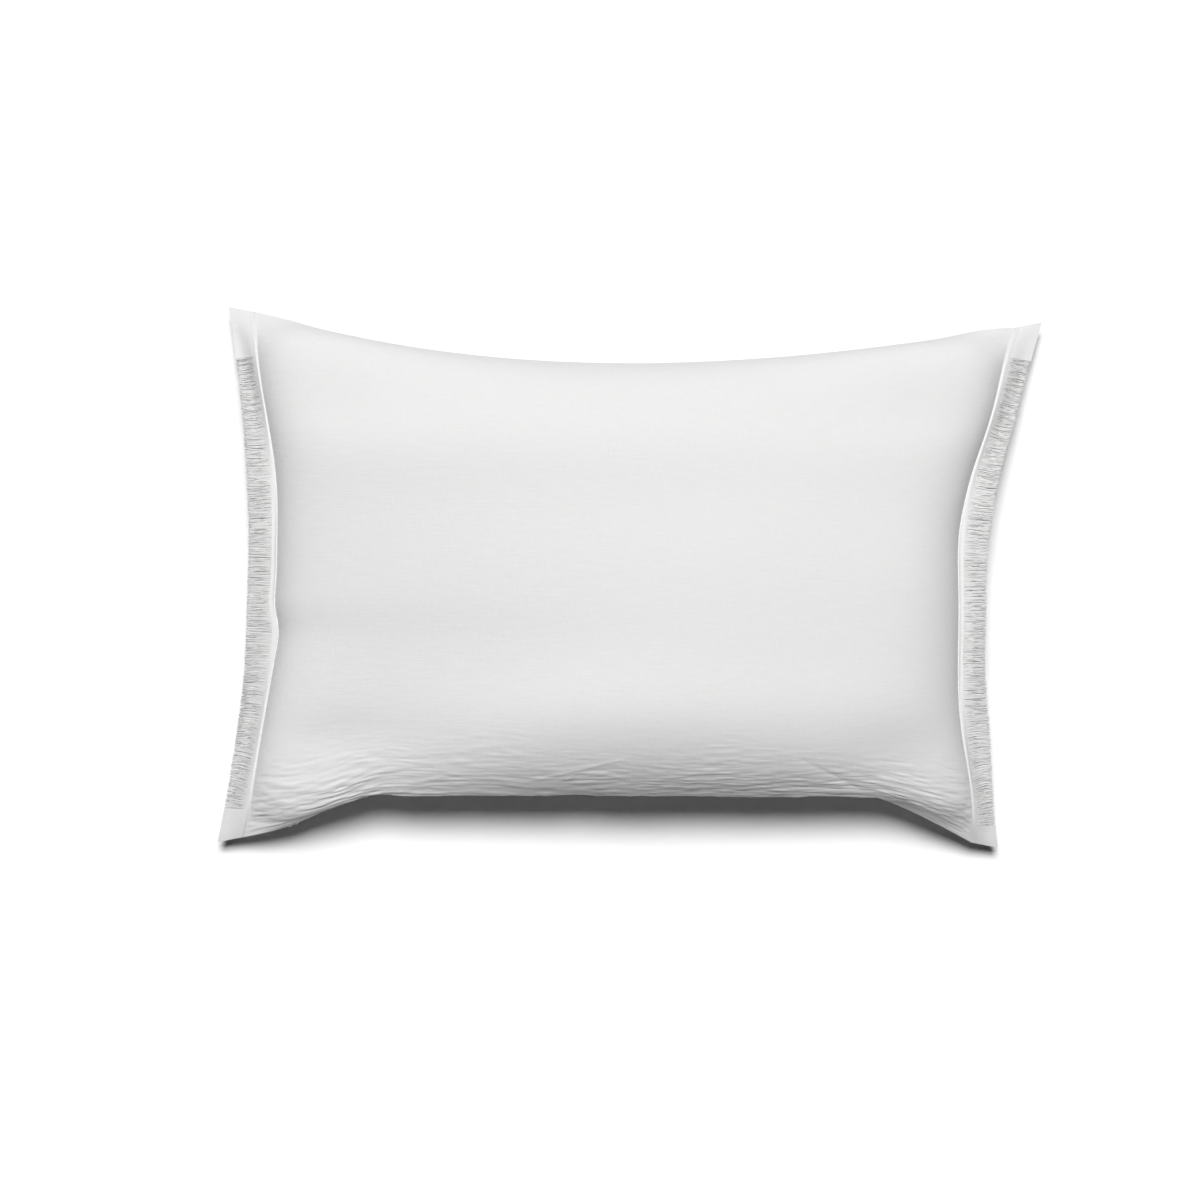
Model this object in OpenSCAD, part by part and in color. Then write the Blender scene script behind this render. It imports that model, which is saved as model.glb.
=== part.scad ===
// Bed pillow lying on its back: a filled insert inside a linen case.
// The case has frayed borders along its two short sides and a zip hidden in one long seam.
// +X runs along the pillow, +Y across it towards the plain seam, +Z is up.
// The origin lies on the floor under the middle of the box that holds the pillow.

/* [Pillow] */
// Length of the box, over the two furthest corners of the frayed borders
pillow_length = 744; // [640:1:820]
// Width of the box, over the two furthest corners of the long edges
pillow_width = 488; // [430:1:540]
// Height of the filled pillow at its middle
pillow_height = 164; // [150:1:180]
// Height of the seams above the floor, midway along an edge
seam_height = 75; // [66:1:82]
// Height of the seams at the four corners
corner_height = 30; // [20:1:40]
// How far the underside would bulge past the floor if the floor didn't flatten it
squash = 22; // [14:1:30]
// Roundness of the crown: low is boxy, high is peaked
fullness = 0.42; // [0.36:0.01:0.5]

/* [Corners] */
// How far the back left corner sits in from the left side of the box
back_left_in = 10; // [0:1:30]
// How far the back right corner sits in from the back of the box
back_right_in = 14; // [0:1:30]
// How far the front left corner sits in from the front of the box
front_left_in = 5; // [0:1:30]
// How far the front right corner sits in from the right side of the box
front_right_in = 40; // [0:1:50]

/* [Edges] */
// How far the filling draws the back seam in at its middle
back_pull = 41; // [30:1:50]
// Distance from the front of the box to the straight stretch of the front seam
front_pull = 53; // [46:1:58]
// How far the filling draws the left seam in at its middle
left_pull = 20; // [10:1:40]
// How far the filling draws the right seam in at its middle
right_pull = 40; // [30:1:46]
// How far the outer edge of the left border is drawn in at its middle
left_border_pull = 29; // [18:1:40]
// How far the outer edge of the right border is drawn in at its middle
right_border_pull = 34; // [30:1:46]
// How far the filling draws the back seam in more on the left than on the right
back_skew = 0.2; // [0:0.05:0.3]

/* [Border] */
// Width of each flat border at a corner, from seam to outer edge
border_w = 24; // [20:1:30]
// How far the pocket's corner sits in from the border's corner along Y
border_tuck = 5; // [0:1:8]
// Width of the woven strip that stays between the seam and the loose threads
strip_w = 3.5; // [2:0.5:6]
// Rows of the grid that stay woven at each end of a border
corner_rows = 3; // [2:1:5]
// How far the outer edge of a border hangs below its seam
border_droop = 7; // [0:1:10]

/* [Cloth] */
// Thickness of the case's linen
case_t = 1; // [0.8:0.1:1.2]
// Thickness of the insert's ticking
ticking_t = 0.6; // [0.5:0.1:0.8]
// Thickness of a sewing thread
thread_d = 0.7; // [0.5:0.1:0.8]
// Gap kept between the sewing thread of the borders and the cloth under it
thread_clear = 0.3; // [0.3:0.1:0.5]

/* [Zip] */
// Length of the zip between its two stops
zip_length = 400; // [300:1:410]
// Distance of the zip's middle from the pillow's middle along X
zip_x = -9; // [-15:1:0]
// Diameter of each of the two coils
coil_d = 1.6; // [1.4:0.1:1.8]
// Width of each zip tape
tape_w = 8; // [6:0.5:8.5]
// Length of the slider along the zip
slider_l = 10; // [8:0.5:12]
// Height of the slider across the zip
slider_w = 8; // [7:0.5:9]
// Length of the pull tab
pull_l = 22; // [16:1:30]

/* [Labels] */
// Length of a blank care label along its seam
label_l = 30; // [20:1:40]
// Depth of a blank care label
label_w = 11; // [8:1:12]

/* [Hidden] */

// Grid of each soft shell: columns along X and rows along Y
cols = 28;
rows = 20;
// Gap left between two cloths that are sewn face to face
seam_gap = 0.5;
// Gap between the two lips of the case along the zip, wide enough for the slider's neck
lip_gap = 1.6;
// Straight stretch of the front seam that holds the zip
zip_flat = zip_length + 28;
// Height of the straight stretch of the front seam, as a Y position
zip_y = -pillow_width / 2 + front_pull;
// How the straight stretch bends away to the corners
bend_power = 1.4;
// Share of the half length over which the seams keep their full height
level_share = 0.68;

// Insets from the case's outer surface: at the seams, and at the crown
ticking_in = 9;
ticking_drop = 2.5;
ticking_floor = 2;
fill_in = 10.5;
fill_drop = 4;
fill_floor = 3.4;

// Places inside the seam, measured in from the case's edge
thread_in = 3;
coil_in = 3.4;
label_in = 4.4;
label_t = 0.4;

// Each zip tape leans inwards from its coil, as the case's wall does
tape_t = 0.5;
tape_lean = 30;

// Slider: outer plate, neck between the coils, inner plate, and the hinge of the pull
plate_t = 1.2;
plate_gap = 0.7;
inner_gap = 0.5;
inner_w = 7;
neck_t = 1;
neck_l = 5;
hinge_d = 1.2;
hinge_bore_d = 1.36;
eye_d = 3;
eye_w = 4.4;
post_t = 1;
pull_t = 1.2;
pull_w = 5;
stop_l = 3;
slider_clear = 0.5;

coil_y = zip_y + coil_in;
coil_dz = lip_gap / 2 + coil_d / 2;
plate_y = zip_y - plate_gap - plate_t;
hinge_y = plate_y - eye_d / 2 - 0.3;
slider_x = zip_x + zip_length / 2 - slider_l / 2 - slider_clear;

function mix(a, b, t) = a + (b - a) * t;

// Corner of the border's outer edge; sx is -1 on the left, sy is -1 at the front
function border_corner(sx, sy) = [
    sx * pillow_length / 2 + (sx < 0 && sy > 0 ? back_left_in : 0) - (sx > 0 && sy < 0 ? front_right_in : 0),
    sy * pillow_width / 2 - (sx > 0 && sy > 0 ? back_right_in : 0) + (sx < 0 && sy < 0 ? front_left_in : 0)
];

// Corner of the sewn pocket
function pocket_corner(sx, sy) = border_corner(sx, sy) - [sx * border_w, sy * border_tuck];

// How far a place on the front seam has bent away from the straight stretch: 0 to 1
function front_bend(x, end_x) =
    pow(max(0, abs(x - zip_x) - zip_flat / 2) / (abs(end_x - zip_x) - zip_flat / 2), bend_power);

// The four seams in plan; u and v run from -1 to 1
function back_seam(u) =
    mix(pocket_corner(-1, 1), pocket_corner(1, 1), (u + 1) / 2)
    - [0, back_pull * (1 - u * u) * (1 - back_skew * u)];
function front_seam(u) =
    let (
        x = mix(pocket_corner(-1, -1)[0], pocket_corner(1, -1)[0], (u + 1) / 2),
        end = pocket_corner(x < zip_x ? -1 : 1, -1)
    )
    [x, mix(zip_y, end[1], front_bend(x, end[0]))];
function left_seam(v) =
    mix(pocket_corner(-1, -1), pocket_corner(-1, 1), (v + 1) / 2) + [left_pull * (1 - v * v), 0];
function right_seam(v) =
    mix(pocket_corner(1, -1), pocket_corner(1, 1), (v + 1) / 2) - [right_pull * (1 - v * v), 0];
// The u of a given x on the front seam
function front_u(x) =
    let (left = pocket_corner(-1, -1)[0], right = pocket_corner(1, -1)[0])
    (2 * x - left - right) / (right - left);

// Plan position of a point of the pocket: a patch that blends the four seams
function plan(u, v) =
    mix(front_seam(u), back_seam(u), (v + 1) / 2)
    + mix(left_seam(v), right_seam(v), (u + 1) / 2)
    - mix(
        mix(pocket_corner(-1, -1), pocket_corner(1, -1), (u + 1) / 2),
        mix(pocket_corner(-1, 1), pocket_corner(1, 1), (u + 1) / 2),
        (v + 1) / 2
    );

// Half the distance between the side seams, and between the long seams, at the pillow's middle
half_u = (plan(1, 0)[0] - plan(-1, 0)[0]) / 2;
half_v = (plan(0, 1)[1] - plan(0, -1)[1]) / 2;
// Shares of those that are left inside an inset of d
function inset_u(d) = 1 - d / half_u;
function inset_v(d) = 1 - d / half_v;

// Height of the seam surface, which drops towards the corners
function seam_z(u, v) =
    seam_height - (seam_height - corner_height)
    * pow(max(0, abs(u) - level_share) / (1 - level_share), 2) * pow(v, 4);

// Half the gap between front and back; lip is 1 on the case, whose zip lips stand apart
function half_gap(u, v, lip) =
    seam_gap / 2
    + lip * (lip_gap - seam_gap) / 2 * pow(max(0, -v), 4)
    * (1 - pow(max(0, abs(u) - level_share) / (1 - level_share), 2));

function crown(u, v) = pow(max(0, (1 - u * u) * (1 - v * v)), fullness);

// A point on the front (upper) cloth of a bag, moved in by d at the seams and down by drop at the crown;
// lift raises it at the seams, where cloths of that thickness lie face to face
function front_point(u, v, d, drop, lip, lift = 0) =
    let (
        su = u * inset_u(d),
        sv = v * inset_v(d),
        p = plan(su, sv),
        c = crown(u, v),
        foot = seam_z(su, sv) + half_gap(su, sv, lip)
    )
    [p[0], p[1], foot + lift * (1 - c) + (pillow_height - half_gap(su, sv, lip) - seam_height - drop) * c];

// The same for the back (lower) cloth, which the floor stops at the height lowest
function back_point(u, v, d, lowest, lip, lift = 0) =
    let (
        su = u * inset_u(d),
        sv = v * inset_v(d),
        p = plan(su, sv),
        c = crown(u, v),
        foot = seam_z(su, sv) - half_gap(su, sv, lip)
    )
    [p[0], p[1], max(lowest, foot - lift * (1 - c) - (seam_height + squash - lowest) * c)];

// A point of the line where front and back meet, moved in by d
function seam_point(u, v, d) =
    let (su = u * inset_u(d), sv = v * inset_v(d))
    concat(plan(su, sv), seam_z(su, sv));

// Grid positions from -1 to 1, closer together near the seams
function column(i) = sin(-90 + 180 * i / cols);
function row(j) = sin(-90 + 180 * j / rows);

// Closed solid between two equal grids of points, upper and lower, given as rows of columns
module slab(upper, lower) {
    nj = len(upper);
    ni = len(upper[0]);
    flat_upper = [for (r = upper) for (p = r) p];
    flat_lower = [for (r = lower) for (p = r) p];
    n = ni * nj;
    polyhedron(
        points = concat(flat_upper, flat_lower),
        faces = concat(
            [for (j = [0 : nj - 2], i = [0 : ni - 2]) for (f = cell(i, j, ni, 0, true)) f],
            [for (j = [0 : nj - 2], i = [0 : ni - 2]) for (f = cell(i, j, ni, n, false)) f],
            [for (i = [0 : ni - 2]) for (f = wall(i, i + 1, n)) f],
            [for (i = [0 : ni - 2]) for (f = wall((nj - 1) * ni + i + 1, (nj - 1) * ni + i, n)) f],
            [for (j = [0 : nj - 2]) for (f = wall((j + 1) * ni, j * ni, n)) f],
            [for (j = [0 : nj - 2]) for (f = wall(j * ni + ni - 1, (j + 1) * ni + ni - 1, n)) f]
        ),
        convexity = 4
    );
}

// Two triangles of a grid cell; up tells which way they face
function cell(i, j, ni, base, up) =
    let (
        a = base + j * ni + i,
        b = a + 1,
        c = a + ni + 1,
        d = a + ni
    )
    up ? [[a, d, c], [a, c, b]] : [[a, c, d], [a, b, c]];

// Two triangles that join an edge of the upper grid to the lower grid
function wall(a, b, n) = [[a, b, b + n], [a, b + n, a + n]];

// Front and back cloths of the insert
module ticking_front_shell(d, drop, t) {
    slab(
        [for (j = [0 : rows]) [for (i = [0 : cols]) front_point(column(i), row(j), d, drop, 0, t)]],
        [for (j = [0 : rows]) [for (i = [0 : cols]) front_point(column(i), row(j), d + t, drop + t, 0)]]
    );
}

module ticking_back_shell(d, lowest, t) {
    slab(
        [for (j = [0 : rows]) [for (i = [0 : cols]) back_point(column(i), row(j), d + t, lowest + t, 0)]],
        [for (j = [0 : rows]) [for (i = [0 : cols]) back_point(column(i), row(j), d, lowest, 0, t)]]
    );
}

// Outer edge of a border in plan; sx is -1 on the left
function border_edge(sx, v) =
    mix(border_corner(sx, -1), border_corner(sx, 1), (v + 1) / 2)
    - [sx * (sx < 0 ? left_border_pull : right_border_pull) * (1 - v * v), 0];

// A point of a border's middle surface; s runs from 0 at the seam to 1 at the outer edge
function border_point(sx, v, s, z) =
    let (
        inner = sx < 0 ? left_seam(v) : right_seam(v),
        p = mix(inner, border_edge(sx, v), s)
    )
    [p[0], p[1], seam_z(sx, v) - border_droop * s + z];

// Share of the border's width taken by the woven strip
strip_s = strip_w / border_w;
// Gap between the woven cloth and the band of loose threads, along and across the border
fringe_gap = 0.2;
notch = 0.4 / (pillow_width / 2);

// Rows of a case panel: the grid's rows, and one more beside each end of the loose threads
case_rows = concat(
    [for (j = [0 : corner_rows]) row(j)],
    [row(corner_rows) + notch],
    [for (j = [corner_rows + 1 : rows - corner_rows - 1]) row(j)],
    [row(rows - corner_rows) - notch],
    [for (j = [rows - corner_rows : rows]) row(j)]
);

// How far the woven cloth reaches across the border: all of it at the corners, else only the strip
function woven_s(v) = abs(v) >= -row(corner_rows) - notch / 2 ? 1 : strip_s;

// One row of a case panel's outer and inner surfaces, from the left border to the right one
function front_row(v, outer) = concat(
    [border_point(-1, v, woven_s(v), outer ? cloth_high : cloth_low)],
    [for (i = [0 : cols])
        outer ? front_point(column(i), v, 0, 0, 1, case_t) : front_point(column(i), v, case_t, case_t, 1)],
    [border_point(1, v, woven_s(v), outer ? cloth_high : cloth_low)]
);
function back_row(v, outer) = concat(
    [border_point(-1, v, woven_s(v), outer ? -cloth_high : -cloth_low)],
    [for (i = [0 : cols])
        outer ? back_point(column(i), v, 0, 0, 1, case_t) : back_point(column(i), v, case_t, case_t, 1)],
    [border_point(1, v, woven_s(v), outer ? -cloth_high : -cloth_low)]
);

// The loose threads of one border of one panel, as the closed band that they fill
module fringe(sx, z0, z1) {
    gap_s = fringe_gap / border_w;
    gap_v = notch + fringe_gap / (pillow_width / 2);
    across = sx < 0 ? [1, strip_s + gap_s] : [strip_s + gap_s, 1];
    along = concat(
        [row(corner_rows) + gap_v],
        [for (j = [corner_rows + 1 : rows - corner_rows - 1]) row(j)],
        [row(rows - corner_rows) - gap_v]
    );
    slab(
        [for (v = along) [for (s = across) border_point(sx, v, s, z1)]],
        [for (v = along) [for (s = across) border_point(sx, v, s, z0)]]
    );
}

cloth_low = seam_gap / 2;
cloth_high = seam_gap / 2 + case_t;

// A thread swept along a list of points
thread_sides = 6;
function unit(p) = p / norm(p);
function thread_ring(points, k, r) =
    let (
        n = len(points),
        along = unit(points[min(k + 1, n - 1)] - points[max(k - 1, 0)]),
        side = unit(cross(along, [0, 0, 1])),
        up = cross(side, along)
    )
    [for (a = [0 : thread_sides - 1])
        points[k] + r * (cos(360 * a / thread_sides) * side + sin(360 * a / thread_sides) * up)];

module thread(points) {
    n = len(points);
    m = thread_sides;
    polyhedron(
        points = [for (k = [0 : n - 1]) for (p = thread_ring(points, k, thread_d / 2)) p],
        faces = concat(
            [[for (a = [m - 1 : -1 : 0]) a]],
            [for (k = [0 : n - 2], a = [0 : m - 1])
                for (f = [
                    [k * m + a, (k + 1) * m + (a + 1) % m, (k + 1) * m + a],
                    [k * m + a, k * m + (a + 1) % m, (k + 1) * m + (a + 1) % m]
                ]) f],
            [[for (a = [0 : m - 1]) (n - 1) * m + a]]
        )
    );
}

// ---- Insert ----

module fill_core() {
    color("ghostwhite")
        slab(
            [for (j = [0 : rows]) [for (i = [0 : cols])
                front_point(column(i), row(j), fill_in, fill_drop, 0)]],
            [for (j = [0 : rows]) [for (i = [0 : cols])
                back_point(column(i), row(j), fill_in, fill_floor, 0)]]
        );
}

module ticking_front() {
    color("white") ticking_front_shell(ticking_in, ticking_drop, ticking_t);
}

module ticking_back() {
    color("white") ticking_back_shell(ticking_in, ticking_floor, ticking_t);
}

// The insert's seam thread runs just outside its seam, along all four sides
module ticking_stitching() {
    d = ticking_in - thread_d;
    steps = 30;
    span = 0.985;
    spots = [for (k = [0 : steps]) mix(-span, span, k / steps)];
    color("white") {
        for (end = [-1, 1]) {
            thread([for (u = spots) seam_point(u, end, d)]);
            thread([for (v = spots) seam_point(end, v, d)]);
        }
    }
}

// A blank label that hangs from the back seam inside the case
module label(u, d) {
    p = seam_point(u, 1, d);
    translate([p[0] - label_l / 2, p[1] - label_t, seam_height - seam_gap - label_w])
        cube([label_l, label_t, label_w]);
}

module ticking_label() {
    color("white") label(-0.12, label_in + label_t + 1.2);
}

// ---- Case ----

module case_front() {
    color("whitesmoke")
        slab([for (v = case_rows) front_row(v, true)], [for (v = case_rows) front_row(v, false)]);
}

module case_back() {
    color("whitesmoke")
        slab([for (v = case_rows) back_row(v, false)], [for (v = case_rows) back_row(v, true)]);
}

module case_label() {
    color("white") label(0.12, label_in);
}

module left_fringe_front() {
    color("gainsboro") fringe(-1, cloth_low, cloth_high);
}

module left_fringe_back() {
    color("gainsboro") fringe(-1, -cloth_high, -cloth_low);
}

module right_fringe_front() {
    color("gainsboro") fringe(1, cloth_low, cloth_high);
}

module right_fringe_back() {
    color("gainsboro") fringe(1, -cloth_high, -cloth_low);
}

// Needle thread on the front and bobbin thread on the back of a border, halfway across the strip
module side_stitching(sx) {
    span = 0.99;
    rise = cloth_high + thread_d / 2 + thread_clear;
    for (side = [-1, 1])
        thread([for (j = [0 : rows])
            border_point(sx, span * row(j), strip_s / 2, side * rise)]);
}

module left_side_stitching() {
    color("white") side_stitching(-1);
}

module right_side_stitching() {
    color("white") side_stitching(1);
}

module top_seam_stitching() {
    steps = 40;
    span = 0.985;
    color("white")
        thread([for (k = [0 : steps])
            seam_point(mix(-span, span, k / steps), 1, thread_in)]);
}

// The front seam is sewn only from each end of the zip to the corner
module bottom_seam_stitching() {
    steps = 12;
    past_zip = zip_flat / 2 + 4;
    corner_end = 0.985;
    color("white")
        for (side = [-1, 1])
            let (zip_end = front_u(zip_x + side * past_zip))
            thread([for (k = [0 : steps])
                seam_point(mix(zip_end, side * corner_end, k / steps), -1, thread_in)]);
}

// ---- Zip ----

// A flat tape that starts just past its coil, or past the stops' reach beside it
module zip_tape(side) {
    foot = lip_gap / 2 + coil_d + tape_t * sin(tape_lean) + 0.1;
    translate([zip_x - zip_length / 2 - stop_l, coil_y - tape_t / 2, seam_height + side * foot])
        rotate([-side * tape_lean, 0, 0])
            translate([0, 0, side > 0 ? 0 : -tape_w])
                cube([zip_length + 2 * stop_l, tape_t, tape_w]);
}

module zip_coil(side) {
    translate([zip_x - zip_length / 2, coil_y, seam_height + side * coil_dz])
        rotate([0, 90, 0])
            cylinder(d = coil_d, h = zip_length, $fn = 24);
}

// A stop closes round both coils at one end of the zip
module zip_stop(x0) {
    reach = 2 * coil_dz + coil_d;
    translate([x0, coil_y - coil_d / 2, seam_height - reach / 2])
        cube([stop_l, coil_d, reach]);
}

module zip_tape_front() {
    color("white") zip_tape(1);
}

module zip_tape_back() {
    color("white") zip_tape(-1);
}

module zip_coil_front() {
    color("ivory") zip_coil(1);
}

module zip_coil_back() {
    color("ivory") zip_coil(-1);
}

module zip_top_stop() {
    color("silver") zip_stop(zip_x + zip_length / 2);
}

module zip_bottom_stop() {
    color("silver") zip_stop(zip_x - zip_length / 2 - stop_l);
}

// Outer plate, neck through the lips and between the coils, inner plate, and the pull's bridge
module zip_slider() {
    inner_y = coil_y + coil_d / 2 + inner_gap;
    post_z = eye_w / 2 + 0.2 + post_t / 2;
    color("silver")
        translate([slider_x, 0, seam_height]) {
            translate([-slider_l / 2, plate_y, -slider_w / 2])
                cube([slider_l, plate_t, slider_w]);
            translate([-slider_l / 2, inner_y, -inner_w / 2])
                cube([slider_l, plate_t, inner_w]);
            translate([-neck_l / 2, plate_y + plate_t / 2, -neck_t / 2])
                cube([neck_l, inner_y - plate_y, neck_t]);
            for (side = [-1, 1])
                translate([-post_t, hinge_y - hinge_d / 2, side * post_z - post_t / 2])
                    cube([2 * post_t, plate_y + plate_t / 2 - hinge_y + hinge_d / 2, post_t]);
            translate([0, hinge_y, -post_z])
                cylinder(d = hinge_d, h = 2 * post_z, $fn = 24);
        }
}

// The pull lies flat along the seam, pointing away from the closed end
module zip_pull() {
    grip_hole_d = 2.4;
    color("silver")
        translate([slider_x, hinge_y, seam_height])
            difference() {
                union() {
                    translate([0, 0, -eye_w / 2])
                        cylinder(d = eye_d, h = eye_w, $fn = 32);
                    translate([-pull_l + pull_w / 2, -pull_t / 2, -eye_w / 2])
                        cube([pull_l - pull_w / 2, pull_t, eye_w]);
                    translate([-pull_l + pull_w / 2, pull_t / 2, 0])
                        rotate([90, 0, 0])
                            cylinder(d = pull_w, h = pull_t, $fn = 32);
                }
                translate([0, 0, -eye_w])
                    cylinder(d = hinge_bore_d, h = 2 * eye_w, $fn = 32);
                translate([-pull_l + pull_w / 2, pull_t, 0])
                    rotate([90, 0, 0])
                        cylinder(d = grip_hole_d, h = 2 * pull_t, $fn = 24);
            }
}

fill_core();
ticking_front();
ticking_back();
ticking_stitching();
ticking_label();
case_front();
case_back();
case_label();
left_fringe_front();
left_fringe_back();
right_fringe_front();
right_fringe_back();
left_side_stitching();
right_side_stitching();
top_seam_stitching();
bottom_seam_stitching();
zip_tape_front();
zip_tape_back();
zip_coil_front();
zip_coil_back();
zip_top_stop();
zip_bottom_stop();
zip_slider();
zip_pull();
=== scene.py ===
"""Bed pillow: a filled insert in a washed linen case with frayed side borders and a concealed zip.

Everything is in metres in the CAD frame: +X along the pillow, +Y towards the plain long seam,
+Z up. The case is sewn as two flat panels and filled by cloth simulation, then shaped further by
rule. Threads, seams and creases follow it.
"""
import math

import bpy
import numpy as np
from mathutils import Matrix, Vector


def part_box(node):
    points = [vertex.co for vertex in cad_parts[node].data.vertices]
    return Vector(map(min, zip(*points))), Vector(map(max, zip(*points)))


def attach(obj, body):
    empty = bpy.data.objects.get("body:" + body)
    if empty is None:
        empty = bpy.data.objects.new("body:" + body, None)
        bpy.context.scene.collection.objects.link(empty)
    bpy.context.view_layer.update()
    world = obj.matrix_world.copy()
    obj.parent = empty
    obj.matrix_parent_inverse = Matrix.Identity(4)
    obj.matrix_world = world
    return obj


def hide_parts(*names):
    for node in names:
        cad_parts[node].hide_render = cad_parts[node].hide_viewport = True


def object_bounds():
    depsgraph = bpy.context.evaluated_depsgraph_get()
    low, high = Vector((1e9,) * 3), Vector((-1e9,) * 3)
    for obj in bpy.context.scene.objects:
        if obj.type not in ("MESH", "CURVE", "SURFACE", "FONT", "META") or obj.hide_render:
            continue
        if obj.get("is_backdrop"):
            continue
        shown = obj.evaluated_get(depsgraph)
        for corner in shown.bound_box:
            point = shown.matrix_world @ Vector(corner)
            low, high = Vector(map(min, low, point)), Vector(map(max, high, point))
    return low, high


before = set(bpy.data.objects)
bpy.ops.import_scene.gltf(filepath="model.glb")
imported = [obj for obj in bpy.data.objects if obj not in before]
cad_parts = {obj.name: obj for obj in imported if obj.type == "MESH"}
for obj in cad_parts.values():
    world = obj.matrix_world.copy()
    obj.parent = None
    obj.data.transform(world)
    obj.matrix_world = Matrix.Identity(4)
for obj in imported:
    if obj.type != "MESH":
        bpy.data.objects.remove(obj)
cad_low, cad_high = (np.array(corner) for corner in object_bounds())

# ---------------------------------------------------------------- sizes, as in the CAD model

CUT_L, CUT_W = 0.750, 0.500          # each case panel as cut, over its frayed borders
BORDER_W = 0.028                     # each border, from side seam to the tips of the threads
POCKET_L = CUT_L - 2 * BORDER_W
STRIP_W = 0.0055                     # woven strip left beside each side seam

BORDER_IN, BORDER_TUCK = 0.024, 0.005           # a pocket corner inside its border corner
BACK_LEFT_IN, BACK_RIGHT_IN = 0.010, 0.014      # border corners inside the CAD box: x, then y
FRONT_LEFT_IN, FRONT_RIGHT_IN = 0.005, 0.040    # the same at the front: y, then x
BACK_PULL, BACK_SKEW = 0.041, 0.2               # how far the back seam is drawn in
LEFT_PULL, RIGHT_PULL = 0.024, 0.029            # how far the side seams are drawn in
LEFT_JOG, JOG_V, JOG_LENGTH = 0.010, -0.09, 0.15    # the left seam steps in below its middle
LEFT_BORDER_PULL, RIGHT_BORDER_PULL = 0.029, 0.034
WAIST_PULL, WAIST_V, WAIST_REACH = 0.016, 0.30, 0.27    # waist of the right seam
SEAM_Z, CORNER_Z = 0.075, 0.030                 # height of the seams, and at the corners
BORDER_DROOP = 0.007                            # how far a border hangs below its seam
ZIP_X, ZIP_L = -0.009, 0.400                    # middle of the zip and its length
ZIP_FLAT = ZIP_L + 0.028                        # straight stretch of the front seam
ZIP_Y = cad_low[1] + 0.053
LEFT_BEND, RIGHT_BEND = 1.4, 1.8                # how late the front seam bends to its corners
LEVEL_SHARE = 0.68                              # share of the long seams that stays level

# ---------------------------------------------------------------- where the seams lie


def mix(a, b, t):
    return a + (b - a) * t


def border_corner(sx, sy):
    """Outer corner of a border in plan; sx is -1 on the left, sy is -1 at the front."""
    x = cad_low[0] if sx < 0 else cad_high[0]
    y = cad_low[1] if sy < 0 else cad_high[1]
    if (sx, sy) == (-1, 1):
        x += BACK_LEFT_IN
    if (sx, sy) == (1, 1):
        y -= BACK_RIGHT_IN
    if (sx, sy) == (-1, -1):
        y += FRONT_LEFT_IN
    if (sx, sy) == (1, -1):
        x -= FRONT_RIGHT_IN
    return np.array([x, y])


def pocket_corner(sx, sy):
    return border_corner(sx, sy) - np.array([sx * BORDER_IN, sy * BORDER_TUCK])


def back_seam(u):
    p = mix(pocket_corner(-1, 1), pocket_corner(1, 1), (u + 1) / 2)
    return p - np.array([0, BACK_PULL * (1 - u * u) * (1 - BACK_SKEW * u)])


def front_line(x, middle_y):
    """A line along the front: straight at middle_y beside the zip, then bending to the corners."""
    end = pocket_corner(-1 if x < ZIP_X else 1, -1)
    bend = max(0.0, abs(x - ZIP_X) - ZIP_FLAT / 2) / (abs(end[0] - ZIP_X) - ZIP_FLAT / 2)
    return mix(middle_y, end[1], min(bend, 1.0) ** (LEFT_BEND if x < ZIP_X else RIGHT_BEND))


def front_seam(u):
    x = mix(pocket_corner(-1, -1)[0], pocket_corner(1, -1)[0], (u + 1) / 2)
    return np.array([x, front_line(x, ZIP_Y)])


def waist(v):
    return WAIST_PULL * math.exp(-abs((v - WAIST_V) / WAIST_REACH) ** 2.4)


def side_seam(sx, v):
    """The left seam has a small step below its middle, the right one a waist above its middle."""
    if sx < 0:
        step = min(max((JOG_V - v) / JOG_LENGTH, 0.0), 1.0)
        pull = (LEFT_PULL + LEFT_JOG * step * step * (3 - 2 * step)) * (1 - abs(v) ** 3)
    else:
        pull = RIGHT_PULL * (1 - abs(v) ** (4.5 if v > 0 else 2.6)) + waist(v)
    p = mix(pocket_corner(sx, -1), pocket_corner(sx, 1), (v + 1) / 2)
    return p - np.array([sx * pull, 0])


def border_edge(sx, v):
    if sx < 0:
        pull = LEFT_BORDER_PULL * (1 - v * v)
    else:
        pull = RIGHT_BORDER_PULL * (1 - abs(v) ** 1.4) + 0.3 * waist(v)
    p = mix(border_corner(sx, -1), border_corner(sx, 1), (v + 1) / 2)
    return p - np.array([sx * pull, 0])


def plan(u, v):
    """Plan position of a point of the pocket: a patch that blends the four seams."""
    rows = mix(front_seam(u), back_seam(u), (v + 1) / 2)
    columns = mix(side_seam(-1, v), side_seam(1, v), (u + 1) / 2)
    corners = mix(
        mix(pocket_corner(-1, -1), pocket_corner(1, -1), (u + 1) / 2),
        mix(pocket_corner(-1, 1), pocket_corner(1, 1), (u + 1) / 2),
        (v + 1) / 2,
    )
    return rows + columns - corners


def seam_z(u, v):
    fall = max(0.0, abs(u) - LEVEL_SHARE) / (1 - LEVEL_SHARE)
    return SEAM_Z - (SEAM_Z - CORNER_Z) * fall ** 2 * v ** 4


# ---------------------------------------------------------------- sewing and filling the case

COLS, ROWS = 96, 70                  # cells of each panel's pocket in the simulation
BORDER_COLS = 4                      # cells across each border
FRONT, BACK = 0, 1
ALL_COLS = COLS + 2 * BORDER_COLS    # cells of a whole panel
ZIP_CUT_X = 0.011                    # middle of the zip along the cut edge
START_GAP = 0.004                    # each panel's distance from the seams' level at the start

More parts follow.
